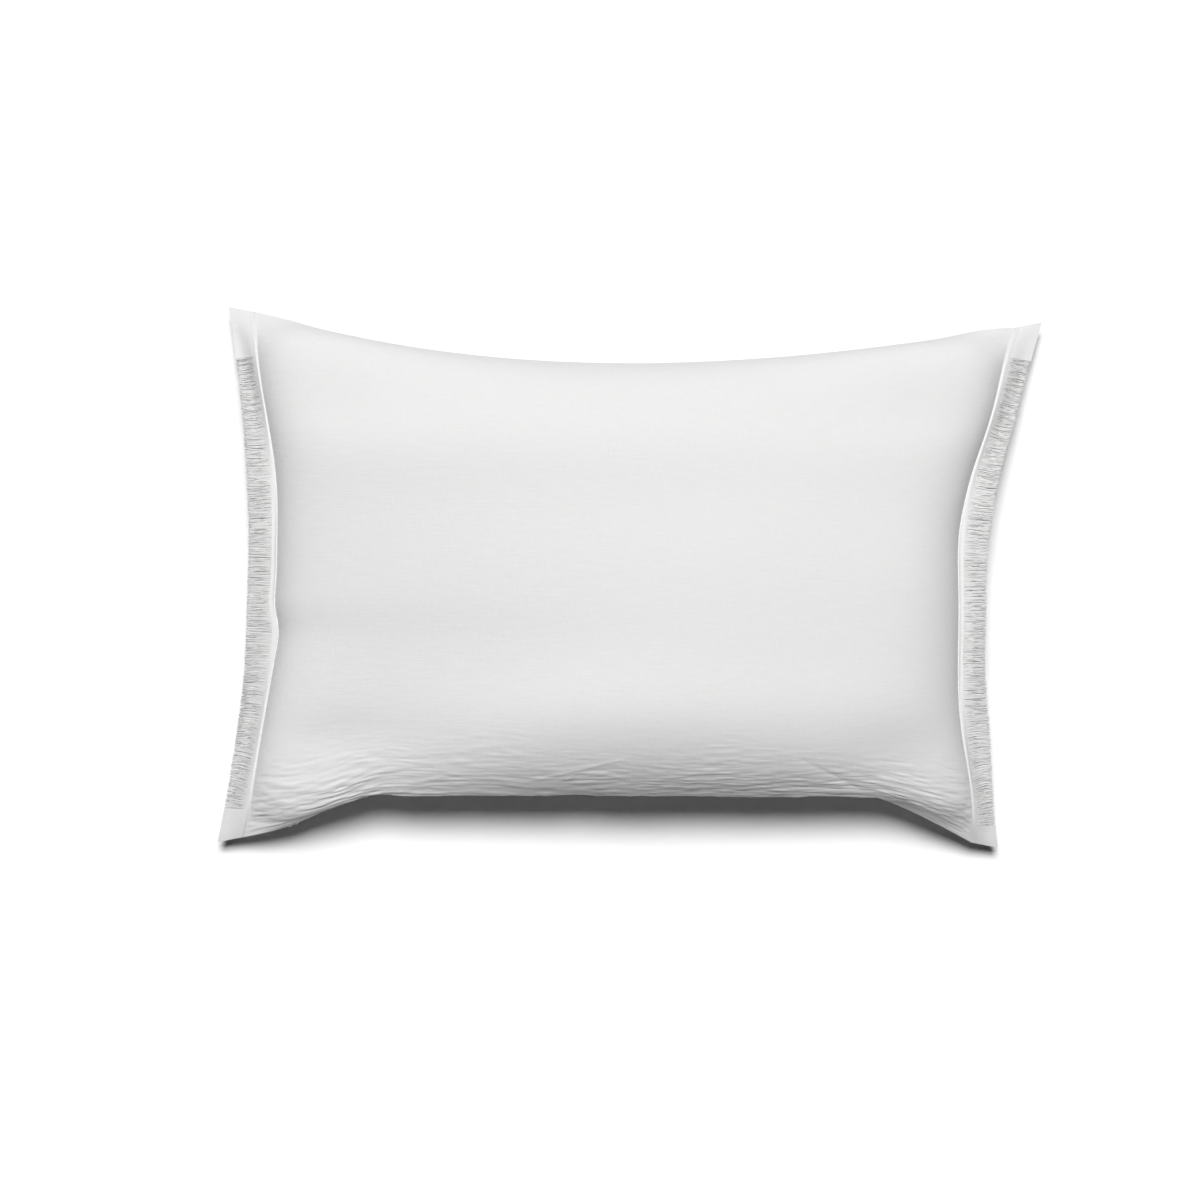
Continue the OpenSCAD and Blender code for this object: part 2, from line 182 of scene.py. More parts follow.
column_x = np.concatenate([
    np.linspace(-CUT_L / 2, -POCKET_L / 2, BORDER_COLS, endpoint=False),
    np.linspace(-POCKET_L / 2, POCKET_L / 2, COLS + 1),
    np.linspace(CUT_L / 2, POCKET_L / 2, BORDER_COLS, endpoint=False)[::-1],
])
row_y = np.linspace(-CUT_W / 2, CUT_W / 2, ROWS + 1)


def zip_place(x):
    """Where a point of the cut front edge lies: the zip keeps its length and the ends gather."""
    cut = (-POCKET_L / 2, ZIP_CUT_X - ZIP_FLAT / 2, ZIP_CUT_X + ZIP_FLAT / 2, POCKET_L / 2)
    left, right = pocket_corner(-1, -1)[0], pocket_corner(1, -1)[0]
    placed = (left, ZIP_X - ZIP_FLAT / 2, ZIP_X + ZIP_FLAT / 2, right)
    return np.interp(x, cut, placed)


def placed_point(x, y):
    """Where a point of the cut panel comes to lie in plan, and the height of the seams there."""
    v = y / (CUT_W / 2)
    if abs(x) > POCKET_L / 2 + 1e-6:
        sx = -1 if x < 0 else 1
        s = (abs(x) - POCKET_L / 2) / BORDER_W
        return [*mix(side_seam(sx, v), border_edge(sx, v), s), seam_z(sx, v) - BORDER_DROOP * s]
    u = x / (POCKET_L / 2)
    left, right = pocket_corner(-1, -1)[0], pocket_corner(1, -1)[0]
    front_u = mix(u, 2 * (zip_place(x) - left) / (right - left) - 1, (1 - v) / 2)
    return [*plan(front_u, v), seam_z(u, v)]


def sewn_case():
    """The two panels as one mesh, joined along the seams and over the borders.

    Returns the object, and for each panel the mesh's point number at every place of its grid.
    """
    cut, placed, number = [], [], np.zeros((2, ALL_COLS + 1, ROWS + 1), int)
    for layer in (FRONT, BACK):
        for i in range(ALL_COLS + 1):
            for j in range(ROWS + 1):
                x, y = column_x[i], row_y[j]
                sewn = j in (0, ROWS) or not BORDER_COLS < i < ALL_COLS - BORDER_COLS
                if layer == BACK and sewn:
                    number[BACK, i, j] = number[FRONT, i, j]
                    continue
                number[layer, i, j] = len(cut)
                gap = 0.0 if sewn else START_GAP if layer == FRONT else -START_GAP
                cut.append([x, y, SEAM_Z + gap])
                placed.append(placed_point(x, y))
    faces = []
    for layer in (FRONT, BACK):
        for i in range(ALL_COLS):
            border = not BORDER_COLS <= i < ALL_COLS - BORDER_COLS
            if layer == BACK and border:
                continue
            for j in range(ROWS):
                a, b = number[layer, i, j], number[layer, i + 1, j]
                c, d = number[layer, i + 1, j + 1], number[layer, i, j + 1]
                faces.append((a, b, c, d) if layer == FRONT else (a, d, c, b))
    mesh = bpy.data.meshes.new("sewn_case")
    mesh.from_pydata(cut, [], faces)
    case = bpy.data.objects.new("sewn_case", mesh)
    bpy.context.scene.collection.objects.link(case)
    case.shape_key_add(name="cut")
    move = case.shape_key_add(name="placed")
    move.data.foreach_set("co", np.array(placed, np.float32).ravel())
    return case, number


# How firmly the seams are guided to their places: 1 holds a point still
CORNER_HOLD, ZIP_HOLD, SEAM_HOLD, EDGE_HOLD = 1.0, 1.0, 0.3, 0.15
PIN_FORCE = 1.5
FILL_PRESSURE = 30
# The filling pushes less and less within this distance of a seam, down to this share at the seam
FILL_REACH = 0.055
EDGE_FILL = 0.02
PLACE_FRAMES, FILL_FRAMES = 12, 50


def hold_of(i, j):
    """How firmly a point of the grid is guided."""
    x = column_x[i]
    on_long, on_side = j in (0, ROWS), i in (BORDER_COLS, ALL_COLS - BORDER_COLS)
    on_edge = i in (0, ALL_COLS)
    if on_long and (on_side or on_edge):
        return CORNER_HOLD
    if j == 0 and abs(x - ZIP_CUT_X) <= ZIP_FLAT / 2:
        return ZIP_HOLD
    if on_edge:
        return EDGE_HOLD
    if on_long or on_side:
        return SEAM_HOLD
    return 0.0


def fill_case(case, number):
    """Runs the cloth simulation and returns where each point of the panels' grids comes to rest."""
    inside = case.vertex_groups.new(name="inside")
    held = case.vertex_groups.new(name="held")
    for i in range(BORDER_COLS, ALL_COLS - BORDER_COLS + 1):
        for j in range(ROWS + 1):
            reach = min(CUT_W / 2 - abs(row_y[j]), POCKET_L / 2 - abs(column_x[i]))
            push = EDGE_FILL + (1 - EDGE_FILL) * min(1.0, reach / FILL_REACH)
            inside.add([int(number[FRONT, i, j]), int(number[BACK, i, j])], push, "REPLACE")
    for i in range(ALL_COLS + 1):
        for j in range(ROWS + 1):
            hold = hold_of(i, j)
            if hold:
                held.add([int(number[FRONT, i, j])], hold, "REPLACE")
    bpy.ops.mesh.primitive_plane_add(size=3, location=(0, 0, -0.001))
    ground = bpy.context.object
    ground.modifiers.new("ground", "COLLISION")
    ground.collision.thickness_outer = 0.001
    ground.collision.cloth_friction = 5

    move = case.data.shape_keys.key_blocks["placed"]
    move.value = 0
    move.keyframe_insert("value", frame=1)
    move.value = 1
    move.keyframe_insert("value", frame=PLACE_FRAMES)

    cloth = case.modifiers.new("fill", "CLOTH")
    s = cloth.settings
    s.quality = 8
    s.mass = 0.05
    s.tension_stiffness = s.compression_stiffness = 15
    s.shear_stiffness = 5
    s.bending_stiffness = 0.5
    s.air_damping = 1
    s.use_pressure = True
    s.uniform_pressure_force = FILL_PRESSURE
    s.vertex_group_pressure = "inside"
    s.vertex_group_mass = "held"
    s.pin_stiffness = PIN_FORCE
    s.effector_weights.gravity = 0.05
    cloth.collision_settings.distance_min = 0.001
    cloth.point_cache.frame_start, cloth.point_cache.frame_end = 1, FILL_FRAMES
    scene = bpy.context.scene
    scene.frame_start, scene.frame_end = 1, FILL_FRAMES
    for f in range(1, FILL_FRAMES + 1):
        scene.frame_set(f)
    filled = case.evaluated_get(bpy.context.evaluated_depsgraph_get()).to_mesh()
    place = np.zeros(len(filled.vertices) * 3, np.float32)
    filled.vertices.foreach_get("co", place)
    place = place.reshape(-1, 3).astype(float)
    bpy.data.objects.remove(ground)
    bpy.data.objects.remove(case)
    return place[number]


case, number = sewn_case()
rest = fill_case(case, number)


# ---------------------------------------------------------------- fitting the case to its outline

SIDE_FADE = 0.20                     # distance from the back seam over which its fit fades out
EDGE_WAVE = 0.0018                   # slight waves of the front edge


def smooth(t):
    t = np.clip(t, 0.0, 1.0)
    return t * t * (3 - 2 * t)


def ripple_field(x, y, x_size, y_size, seed):
    """Smooth random values from -1 to 1 over flat positions, with humps about x_size by y_size."""
    shape = (int(1.2 / x_size) + 4, int(1.2 / y_size) + 4)
    table = np.random.default_rng(seed).uniform(-1, 1, shape)
    a, b = (np.asarray(x) + 0.6) / x_size, (np.asarray(y) + 0.6) / y_size
    i, j = np.floor(a).astype(int), np.floor(b).astype(int)
    s, t = smooth(a - i), smooth(b - j)
    i, j = i % (table.shape[0] - 1), j % (table.shape[1] - 1)
    near, far = mix(table[i, j], table[i + 1, j], s), mix(table[i, j + 1], table[i + 1, j + 1], s)
    return mix(near, far, t)


def outline_y(grid, x):
    """Furthest y of a panel's pocket towards the back along the lines of constant x."""
    best = np.full(len(x), -9.0)
    for j in range(grid.shape[1]):
        best = np.maximum(best, np.interp(x, grid[:, j, 0], grid[:, j, 1], left=-9, right=-9))
    return best


def back_outline(x):
    line = np.array([back_seam(u) for u in np.linspace(-1, 1, 200)])
    return np.interp(x, line[:, 0], line[:, 1])


def even_out(grid, x_radius, y_radius):
    """A grid smoothed over distances in metres along the pillow and across it; its edges stay."""
    for axis, radius, cell in ((0, x_radius, POCKET_L / COLS), (1, y_radius, CUT_W / ROWS)):
        g = np.moveaxis(grid, axis, 0)
        reach = int(2.5 * radius / cell)
        weights = np.exp(-0.5 * (np.arange(-reach, reach + 1) * cell / radius) ** 2)
        weights /= weights.sum()
        start = 2 * g[:1] - g[reach:0:-1]
        end = 2 * g[-1:] - g[-2:-reach - 2:-1]
        wide = np.concatenate([start, g, end])
        g = sum(w * wide[k:k + len(g)] for k, w in enumerate(weights))
        grid = np.moveaxis(g, 0, axis)
    return grid


laid = np.array([[placed_point(x, y) for y in row_y] for x in column_x])  # before filling
inner_x = column_x[BORDER_COLS:ALL_COLS - BORDER_COLS + 1]
side_depth = POCKET_L / 2 - np.abs(inner_x)[:, None]
long_depth = CUT_W / 2 - np.abs(row_y)[None]
corner_depth = np.hypot(side_depth, long_depth)
# The face is smoothed evenly from this far inside the seams, and the edges mostly along them
FACE_START, FACE_REACH, FACE_BLUR = 0.012, 0.055, 0.034
EDGE_BLUR = (0.028, 0.006)
LOFT = 1.09                          # the crown, against the height the simulation gives


def calm(rest):
    """Smooths the long folds out, as ironed cloth is; the seams stay where they are."""
    for border in (slice(0, BORDER_COLS + 1), slice(ALL_COLS - BORDER_COLS, ALL_COLS + 1)):
        for _ in range(2):
            moved = rest[FRONT, border] - laid[border]
            moved[:, [0, -1]] = 0
            moved = even_out(moved, 0.002, 0.018)
            rest[:, border] = laid[border] + moved
    share = smooth((np.minimum(side_depth, long_depth) - FACE_START) / FACE_REACH)[..., None]
    for layer in (FRONT, BACK):
        panel = rest[layer, BORDER_COLS:ALL_COLS - BORDER_COLS + 1]
        base = laid[BORDER_COLS:ALL_COLS - BORDER_COLS + 1]
        moved = panel - base
        moved[..., 2] *= LOFT if layer == FRONT else 1
        edges, face = even_out(moved, *EDGE_BLUR), even_out(moved, FACE_BLUR, FACE_BLUR)
        panel[:] = base + mix(edges, face, share)
    return rest


def fit_back(rest):
    """Draws the bulge over the back seam in, so that the outline keeps to its own smooth line."""
    x = np.linspace(-0.34, 0.34, 69)
    steps = np.arange(ROWS + 1) * CUT_W / ROWS
    pocket = rest[:, BORDER_COLS:ALL_COLS - BORDER_COLS + 1]
    back = np.maximum(outline_y(pocket[FRONT], x), outline_y(pocket[BACK], x))
    move = (back_outline(x) - back) * smooth((0.335 - np.abs(x)) / 0.06)
    for layer in (FRONT, BACK):
        for j in range(ROWS + 1):
            row = pocket[layer][:, j]
            fade = 1 - smooth((CUT_W - steps[j]) / SIDE_FADE)
            row[:, 1] += np.interp(row[:, 0], x, move) * fade
    pocket[BACK][:, 0] = pocket[FRONT][:, 0]
    pocket[BACK][:, -1] = pocket[FRONT][:, -1]
    return rest


def bridge(start, end, leave, arrive, t, swing=1.0):
    """A smooth curve from start to end that sets off along leave and comes in along arrive."""
    reach = np.linalg.norm(end - start, axis=2, keepdims=True)
    arrive = arrive / np.linalg.norm(arrive, axis=2, keepdims=True)
    return (
        (2 * t ** 3 - 3 * t ** 2 + 1) * start + (t ** 3 - 2 * t ** 2 + t) * reach * swing * leave
        + (3 * t ** 2 - 2 * t ** 3) * end + (t ** 3 - t ** 2) * reach * arrive
    )


# The walls over the long seams, along this length of cloth: they rise nearly upright and lean in;
# the front one first swells out past the zip
WALL_LENGTH, WALL_SLOPE, WALL_SWING = 0.105, math.radians(86), 1.3
SWELL, SWELL_AT = 0.0055, 0.10
RIGHT_TUCK = 0.009                   # how much less it swells towards the right corner
# The front panel stands this much fuller, at this distance either side of its middle line
FULLER, FULL_Y, FULL_REACH = 0.008, 0.125, 0.045


def round_walls(rest):
    """Rounds the panels' walls over both long seams."""
    pocket = rest[:, BORDER_COLS:ALL_COLS - BORDER_COLS + 1]
    n = int(round(WALL_LENGTH / (CUT_W / ROWS)))
    t = (np.arange(n + 1) / n)[None, :, None]
    ease = smooth((POCKET_L / 2 - np.abs(inner_x)) / 0.05)[:, None, None]
    y = np.abs(pocket[FRONT][..., 1])
    pocket[FRONT][..., 2] += FULLER * np.exp(-((y - FULL_Y) / FULL_REACH) ** 2) * ease[..., 0]
    x = pocket[FRONT][:, 0, 0]
    swell = np.array([front_line(a, ZIP_Y) - front_line(a, ZIP_Y - SWELL) for a in x])
    waves = EDGE_WAVE * ripple_field(x, 0 * x, 0.040, 1.0, 21)
    swell = swell + waves - RIGHT_TUCK * smooth((x - 0.20) / 0.06)
    at = t[..., 0] / SWELL_AT
    for layer in (FRONT, BACK):
        up = 1 if layer == FRONT else -1
        for sy in (-1, 1):
            wall = pocket[layer][:, ::-sy]           # rows from this long seam inwards
            leave = np.array([0, sy * math.cos(WALL_SLOPE), up * math.sin(WALL_SLOPE)])
            arrive = (wall[:, n + 2] - wall[:, n - 2])[:, None]
            curve = bridge(wall[:, :1], wall[:, n:n + 1], leave, arrive, t, WALL_SWING)
            if sy < 0:
                curve[..., 1] -= swell[:, None] * at ** 2 * np.exp(2 - 2 * at)
            wall[:, :n + 1] = mix(wall[:, :n + 1], curve, ease)
    return rest


# Each side rises from its seam in one clean curve of this length, leaving the seam at this slope
SIDE_LENGTH, SIDE_SLOPE, SIDE_SWING = 0.095, math.radians(78), 1.2
SIDE_FULL = 0.034                    # distance from the long seams at which the curve is whole


def round_sides(rest):
    """Rounds the panels' walls over both side seams."""
    pocket = rest[:, BORDER_COLS:ALL_COLS - BORDER_COLS + 1]
    n = int(round(SIDE_LENGTH / (POCKET_L / COLS)))
    t = (np.arange(n + 1) / n)[:, None, None]
    ease = smooth((CUT_W / 2 - np.abs(row_y)) / SIDE_FULL)[None, :, None]
    for layer in (FRONT, BACK):
        up = 1 if layer == FRONT else -1
        for sx in (-1, 1):
            side = pocket[layer][::-sx]              # columns from this side's seam inwards
            leave = np.array([-sx * math.cos(SIDE_SLOPE), 0, up * math.sin(SIDE_SLOPE)])
            arrive = (side[n + 2] - side[n - 2])[None]
            curve = bridge(side[:1], side[n:n + 1], leave, arrive, t, SIDE_SWING)
            side[:n + 1] = mix(side[:n + 1], curve, ease)
    return rest


CORNER_FLAT, CORNER_FADE = 0.006, 0.045         # reach of the flat corners
CORNER_CALM, CORNER_BLUR = 0.11, 0.016          # reach and strength of their smoothing
CORNER_CLOSE = 0.85                             # how close the two panels lie there


def flatten_corners(rest):
    """The filling stops short of the corners, so the two panels lie smooth and close there."""
    share = 1 - smooth((corner_depth - CORNER_FLAT) / CORNER_FADE)
    calm_share = (1 - smooth(corner_depth / CORNER_CALM))[..., None]
    pocket = rest[:, BORDER_COLS:ALL_COLS - BORDER_COLS + 1]
    base = laid[BORDER_COLS:ALL_COLS - BORDER_COLS + 1]
    for layer in (FRONT, BACK):
        moved = pocket[layer] - base
        calmed = even_out(moved, CORNER_BLUR, CORNER_BLUR)
        pocket[layer] = base + mix(moved, calmed, calm_share)
    middle = (pocket[FRONT] + pocket[BACK]) / 2
    for layer in (FRONT, BACK):
        pocket[layer] = mix(pocket[layer], middle, CORNER_CLOSE * share[..., None])
    return rest


rest = flatten_corners(round_sides(fit_back(round_walls(calm(rest)))))
for layer in (FRONT, BACK):
    panel = rest[layer, BORDER_COLS:ALL_COLS - BORDER_COLS + 1]
    panel[:] = even_out(panel, 0.007, 0.005)

# ---------------------------------------------------------------- finer grids


def finer(grid, factor, axis):
    """Inserts points between those of a grid, on smooth curves through them."""
    g = np.moveaxis(grid, axis, 0)
    ext = np.concatenate([2 * g[:1] - g[1:2], g, 2 * g[-1:] - g[-2:-1]])
    p0, p1, p2, p3 = ext[:-3], ext[1:-2], ext[2:-1], ext[3:]
    out = [
        0.5 * (2 * p1 + (p2 - p0) * t + (2 * p0 - 5 * p1 + 4 * p2 - p3) * t ** 2
               + (3 * p1 - p0 - 3 * p2 + p3) * t ** 3)
        for t in np.arange(factor) / factor
    ]
    fine = np.stack(out, axis=1).reshape(-1, *g.shape[1:])
    return np.moveaxis(np.concatenate([fine, g[-1:]]), 0, axis)


def blur(grid, axis):
    """Evens out single-cell ripples, keeping the ends where they are."""
    g = np.moveaxis(grid.copy(), axis, 0)
    g[1:-1] = 0.25 * g[:-2] + 0.5 * g[1:-1] + 0.25 * g[2:]
    return np.moveaxis(g, 0, axis)


def grid_normals(grid, up):
    n = np.cross(np.gradient(grid, axis=0), np.gradient(grid, axis=1))
    n /= np.linalg.norm(n, axis=2, keepdims=True) + 1e-12
    return n if up else -n


FINE_X, FINE_Y = 3, 6
fine_x = finer(inner_x, FINE_X, 0)
fine_y = finer(row_y, FINE_Y, 0)
flat_x, flat_y = np.meshgrid(fine_x, fine_y, indexing="ij")
pocket = rest[:, BORDER_COLS:ALL_COLS - BORDER_COLS + 1]

# ---------------------------------------------------------------- meshes

TIP_TAPER = 0.35                     # a thread's radius at its tips, against its full radius


def link(name, points, faces, uv=None):
    """A mesh object from arrays; uv gives each point's place on the flat cloth in metres."""
    mesh = bpy.data.meshes.new(name)
    points, faces = np.asarray(points, np.float32), np.asarray(faces, np.int32)
    mesh.vertices.add(len(points))
    mesh.vertices.foreach_set("co", points.ravel())
    mesh.loops.add(faces.size)
    mesh.loops.foreach_set("vertex_index", faces.ravel())
    mesh.polygons.add(len(faces))
    starts = np.arange(0, faces.size, faces.shape[1], dtype=np.int32)
    mesh.polygons.foreach_set("loop_start", starts)
    mesh.polygons.foreach_set("use_smooth", np.ones(len(faces), bool))
    if uv is not None:
        layer = mesh.uv_layers.new(name="flat")
        layer.data.foreach_set("uv", np.asarray(uv, np.float32)[faces.ravel()].ravel())
    mesh.update(calc_edges=True)
    mesh.validate()
    made = bpy.data.objects.new(name, mesh)
    bpy.context.scene.collection.objects.link(made)
    return made


def grid_faces(ni, nj, up=True, keep=None):
    """Faces of an ni by nj grid of points; keep marks the cells that are wanted."""
    k = np.arange(ni * nj).reshape(ni, nj)
    a, b, c, d = k[:-1, :-1], k[1:, :-1], k[1:, 1:], k[:-1, 1:]
    quads = np.stack([a, b, c, d] if up else [a, d, c, b], axis=-1)
    return quads.reshape(-1, 4) if keep is None else quads[keep]


def tubes(name, lines, radius, sides=5):
    """Many threads as one mesh: lines is (threads, points, 3), radius one number or one a thread."""
    lines = np.asarray(lines, float)
    n, m = lines.shape[:2]
    along = np.gradient(lines, axis=1)
    along /= np.linalg.norm(along, axis=2, keepdims=True) + 1e-12
    other = np.where(np.abs(along[..., 2:]) > 0.9, [1.0, 0.0, 0.0], [0.0, 0.0, 1.0])
    side = np.cross(along, other)
    side /= np.linalg.norm(side, axis=2, keepdims=True) + 1e-12
    up = np.cross(side, along)
    r = np.broadcast_to(np.asarray(radius, float), (n,))[:, None, None, None]
    taper = np.ones((1, m, 1, 1))
    taper[:, [0, -1]] = TIP_TAPER
    turn = 2 * math.pi * np.arange(sides) / sides
    ring = np.cos(turn)[:, None] * side[:, :, None] + np.sin(turn)[:, None] * up[:, :, None]
    points = lines[:, :, None] + r * taper * ring
    k = np.arange(n * m * sides).reshape(n, m, sides)
    a, b = k[:, :-1], k[:, 1:]
    faces = np.stack([a, np.roll(a, -1, 2), np.roll(b, -1, 2), b], axis=-1)
    return link(name, points.reshape(-1, 3), faces.reshape(-1, 4))


# ---------------------------------------------------------------- creases and lips of the panels

CREASE_SIZE = (0.016, 0.0027)        # length and width of the fine creases
CREASE_DEPTH, CREASE_REST = 0.00115, 0.05    # their height, and the share of it away from the seam
SOFT_CREASE = ((0.045, 0.009), 0.0006)       # size and height of the soft ones
# Sharper creases over the front edge: from one end to the other in plan, and how high they stand
FOLDS = [
    ((-0.112, -0.186), (0.012, -0.156), 0.0009), ((-0.066, -0.182), (-0.046, -0.174), 0.0006),
    ((0.140, -0.156), (0.216, -0.194), -0.0009), ((-0.225, -0.190), (-0.160, -0.176), 0.0006),
]
FOLD_WIDTH = 0.0016


def crinkles(x, y, layer):
    """Height of the washed linen's fine creases: mostly along the front seam, faint elsewhere."""
    bend = 0.004 * ripple_field(x, y, 0.06, 0.03, 11 + layer)
    fine = ripple_field(x, y + bend, *CREASE_SIZE, 3 + layer)
    small = (CREASE_SIZE[0] * 0.6, CREASE_SIZE[1] * 0.7)
    fine += 0.5 * ripple_field(x + 0.3, y + bend, *small, 5 + layer)
    soft = ripple_field(x, y, *SOFT_CREASE[0], 9 + layer)
    patch = 0.6 + 0.4 * ripple_field(x, y, 0.07, 0.05, 7 + layer)
    near = 1 - smooth((y + CUT_W / 2) / 0.12)
    height = CREASE_DEPTH * patch * fine + SOFT_CREASE[1] * soft * near
    return (CREASE_REST + (1 - CREASE_REST) * near) * height


def folds(grid):
    """Height of the sharper creases at the points of a panel."""
    rise = np.zeros(grid.shape[:2])
    for start, end, height in FOLDS:
        start, end = np.array(start), np.array(end)
        along = (end - start) / np.linalg.norm(end - start)
        from_start = grid[..., :2] - start
        t = (from_start @ along) / np.linalg.norm(end - start)
        off = np.abs(from_start @ np.array([-along[1], along[0]]))
        rise += height * np.exp(-off / FOLD_WIDTH) * smooth(t * 3) * smooth((1 - t) * 3)
    return rise


# The lips' folded-in rows: how far each lies behind the fold, and its height as a share of the gap
LIP_FOLD = ((0.0, -0.4), (-0.0003, -0.8), (-0.0010, -0.9), (-0.0022, -0.9))
LIP_ROWS = len(LIP_FOLD)
LIP_GAP = 0.0008                     # half the gap between the lips along the zip
LIP_OUT = 0.0004                     # how far the lips' fold stands out past the seam's line
LIP_FADE = 6                         # rows over which the wall settles back from the lips
HOLLOW_Y = ZIP_Y - 0.0005            # the lips lie this far forward, behind the slider's plate
HOLLOW_HALF, HOLLOW_EDGE = 0.0046, 0.0085    # half its height, and the slope above and below it
HOLLOW_END, HOLLOW_FADE = 0.038, 0.026       # where it ends past the zip, and over what length
HOLLOW_DEEP = 0.02                   # only cloth this close behind the zip's line is pressed


def press_hollow(grid):
    """Presses a shallow hollow along the zip and past its ends, for the slider and the pull."""
    past = np.abs(grid[..., 0] - ZIP_X) - ZIP_L / 2
    along = smooth((HOLLOW_END - past) / HOLLOW_FADE)
    off = np.abs(grid[..., 2] - SEAM_Z)
    across = smooth((HOLLOW_HALF + HOLLOW_EDGE - off) / HOLLOW_EDGE)
    in_front = grid[..., 1] < ZIP_Y + HOLLOW_DEEP
    grid[..., 1] += in_front * along * across * np.maximum(HOLLOW_Y - grid[..., 1], 0)
    return grid


def add_lips(grid, layer):
    """Folds a panel's front edge in along the zip: its last rows curl round and run inwards."""
    sign = 1 if layer == FRONT else -1
    seam = grid[:, 0].copy()
    at_zip = smooth((ZIP_FLAT / 2 + 0.012 - np.abs(fine_x - ZIP_CUT_X)) / 0.024)
    gap = mix(0.0002, LIP_GAP, at_zip)
    for row in range(LIP_FADE):
        share = 1 - row / LIP_FADE
        grid[:, row, 1] -= LIP_OUT * share
        grid[:, row, 2] += sign * share * gap
    fold = []
    for out, high in LIP_FOLD:
        y = seam[:, 1] - LIP_OUT - out
        fold.append(np.stack([seam[:, 0], y, seam[:, 2] + sign * gap * (1 + high * 0.7)], axis=1))
    return press_hollow(np.concatenate([np.stack(fold[::-1], axis=1), grid], axis=1))


def fine_panel(layer):
    grid = blur(blur(pocket[layer], 0), 1)
    grid[:, 0], grid[:, -1] = pocket[layer][:, 0], pocket[layer][:, -1]
    grid[0], grid[-1] = pocket[layer][0], pocket[layer][-1]
    grid = finer(finer(grid, FINE_X, 0), FINE_Y, 1)
    edge = smooth(np.minimum(CUT_W / 2 - np.abs(flat_y), POCKET_L / 2 - np.abs(flat_x)) / 0.008)
    rise = crinkles(flat_x, flat_y, layer) + (folds(grid) if layer == FRONT else 0)
    grid = grid + grid_normals(grid, layer == FRONT) * (edge * rise)[..., None]
    return add_lips(grid, layer)


# ---------------------------------------------------------------- borders

STRIP_S = STRIP_W / BORDER_W
RIDGE = 0.0014                       # height of the woven strip's ridge beside the stitching
LAYER_GAP = 0.0006                   # each layer's distance from the border's middle surface
CORNER_CLOTH = {(-1, 1): 0.050, (1, 1): 0.036, (-1, -1): 0.032, (1, -1): 0.022}

border_grid = {
    -1: finer(rest[FRONT, BORDER_COLS::-1], FINE_Y, 1),
    1: finer(rest[FRONT, ALL_COLS - BORDER_COLS:], FINE_Y, 1),
}


def border_place(sx, s, y):
    """Place on a border's middle surface, at the share s of its width and the flat position y."""
    grid = border_grid[sx]
    a = np.clip(np.asarray(s) * BORDER_COLS, 0, BORDER_COLS)
    b = np.clip((np.asarray(y) / CUT_W + 0.5) * (grid.shape[1] - 1), 0, grid.shape[1] - 1)
    i, j = np.minimum(a.astype(int), BORDER_COLS - 1), np.minimum(b.astype(int), grid.shape[1] - 2)
    p, q = (a - i)[..., None], (b - j)[..., None]
    near, far = mix(grid[i, j], grid[i + 1, j], p), mix(grid[i, j + 1], grid[i + 1, j + 1], p)
    return mix(near, far, q)


def border_height(s):
    """How far a layer of the border stands off its middle surface."""
    ridge = np.sin(np.clip(s / STRIP_S, 0, 1) * math.pi) ** 0.8 * (s < STRIP_S)
    return LAYER_GAP * smooth(s / 0.03) + RIDGE * ridge


# Columns of a border's cloth, as shares of its width
border_s = np.array([
    0.02, 0.045, 0.07, 0.095, STRIP_S,
    0.2, 0.3, 0.4, 0.5, 0.6, 0.7, 0.8, 0.9, 1.0,
])


def border_columns(sx, layer):
    """The woven part of a border of one panel: its grid, and the flat place of each point."""
    sign = 1 if layer == FRONT else -1
    s, y = np.meshgrid(border_s, fine_y, indexing="ij")
    grid = border_place(sx, s, y)
    waves = 0.0007 * ripple_field(s * BORDER_W, y, 0.02, 0.016, 31 + layer + 2 * sx)
    waves = waves * smooth((s - STRIP_S) / 0.4)
    grid[..., 2] += sign * border_height(s) + waves
    return grid, np.stack([sx * (POCKET_L / 2 + s * BORDER_W), y], axis=-1)


def case_panel(layer, name):
    """One panel of the case: the pocket, the woven strips beside it and the corners' cloth."""
    main = fine_panel(layer)
    rows = main.shape[1]
    lip_y = fine_y[0] - 0.001 * np.arange(LIP_ROWS, 0, -1)
    all_y = np.concatenate([lip_y, fine_y])
    uv_main = np.stack(np.broadcast_arrays(fine_x[:, None], all_y[None]), -1)
    grids, uvs = [], []
    for sx in (-1, 1):
        grid, uv = border_columns(sx, layer)
        pad = np.repeat(grid[:, :1], LIP_ROWS, axis=1)
        grid = np.concatenate([pad, grid], axis=1)
        uv = np.concatenate([np.repeat(uv[:, :1], LIP_ROWS, axis=1), uv], axis=1)
        grids.append(grid[::-1] if sx < 0 else grid)
        uvs.append(uv[::-1] if sx < 0 else uv)
    points = np.concatenate([grids[0], main, grids[1]])
    uv = np.concatenate([uvs[0], uv_main, uvs[1]])
    ni, nj = points.shape[:2]
    keep = np.ones((ni - 1, nj - 1), bool)
    mid_y = np.concatenate([np.full(LIP_ROWS, -9.0), (fine_y[1:] + fine_y[:-1]) / 2])
    n = len(border_s)
    for sx in (-1, 1):
        woven = mid_y > CUT_W / 2 - CORNER_CLOTH[sx, 1]
        woven |= mid_y < CORNER_CLOTH[sx, -1] - CUT_W / 2
        for k in range(n):
            column = n - 1 - k if sx < 0 else ni - 1 - n + k
            cell_s = border_s[k]
            keep[column] = (mid_y > -1) & (woven | (cell_s <= STRIP_S + 1e-6))
    faces = grid_faces(ni, nj, layer == FRONT, keep)
    return link(name, points.reshape(-1, 3), faces, uv.reshape(-1, 2))


case_front = case_panel(FRONT, "case_front_cloth")
case_back = case_panel(BACK, "case_back_cloth")

# ---------------------------------------------------------------- fringes

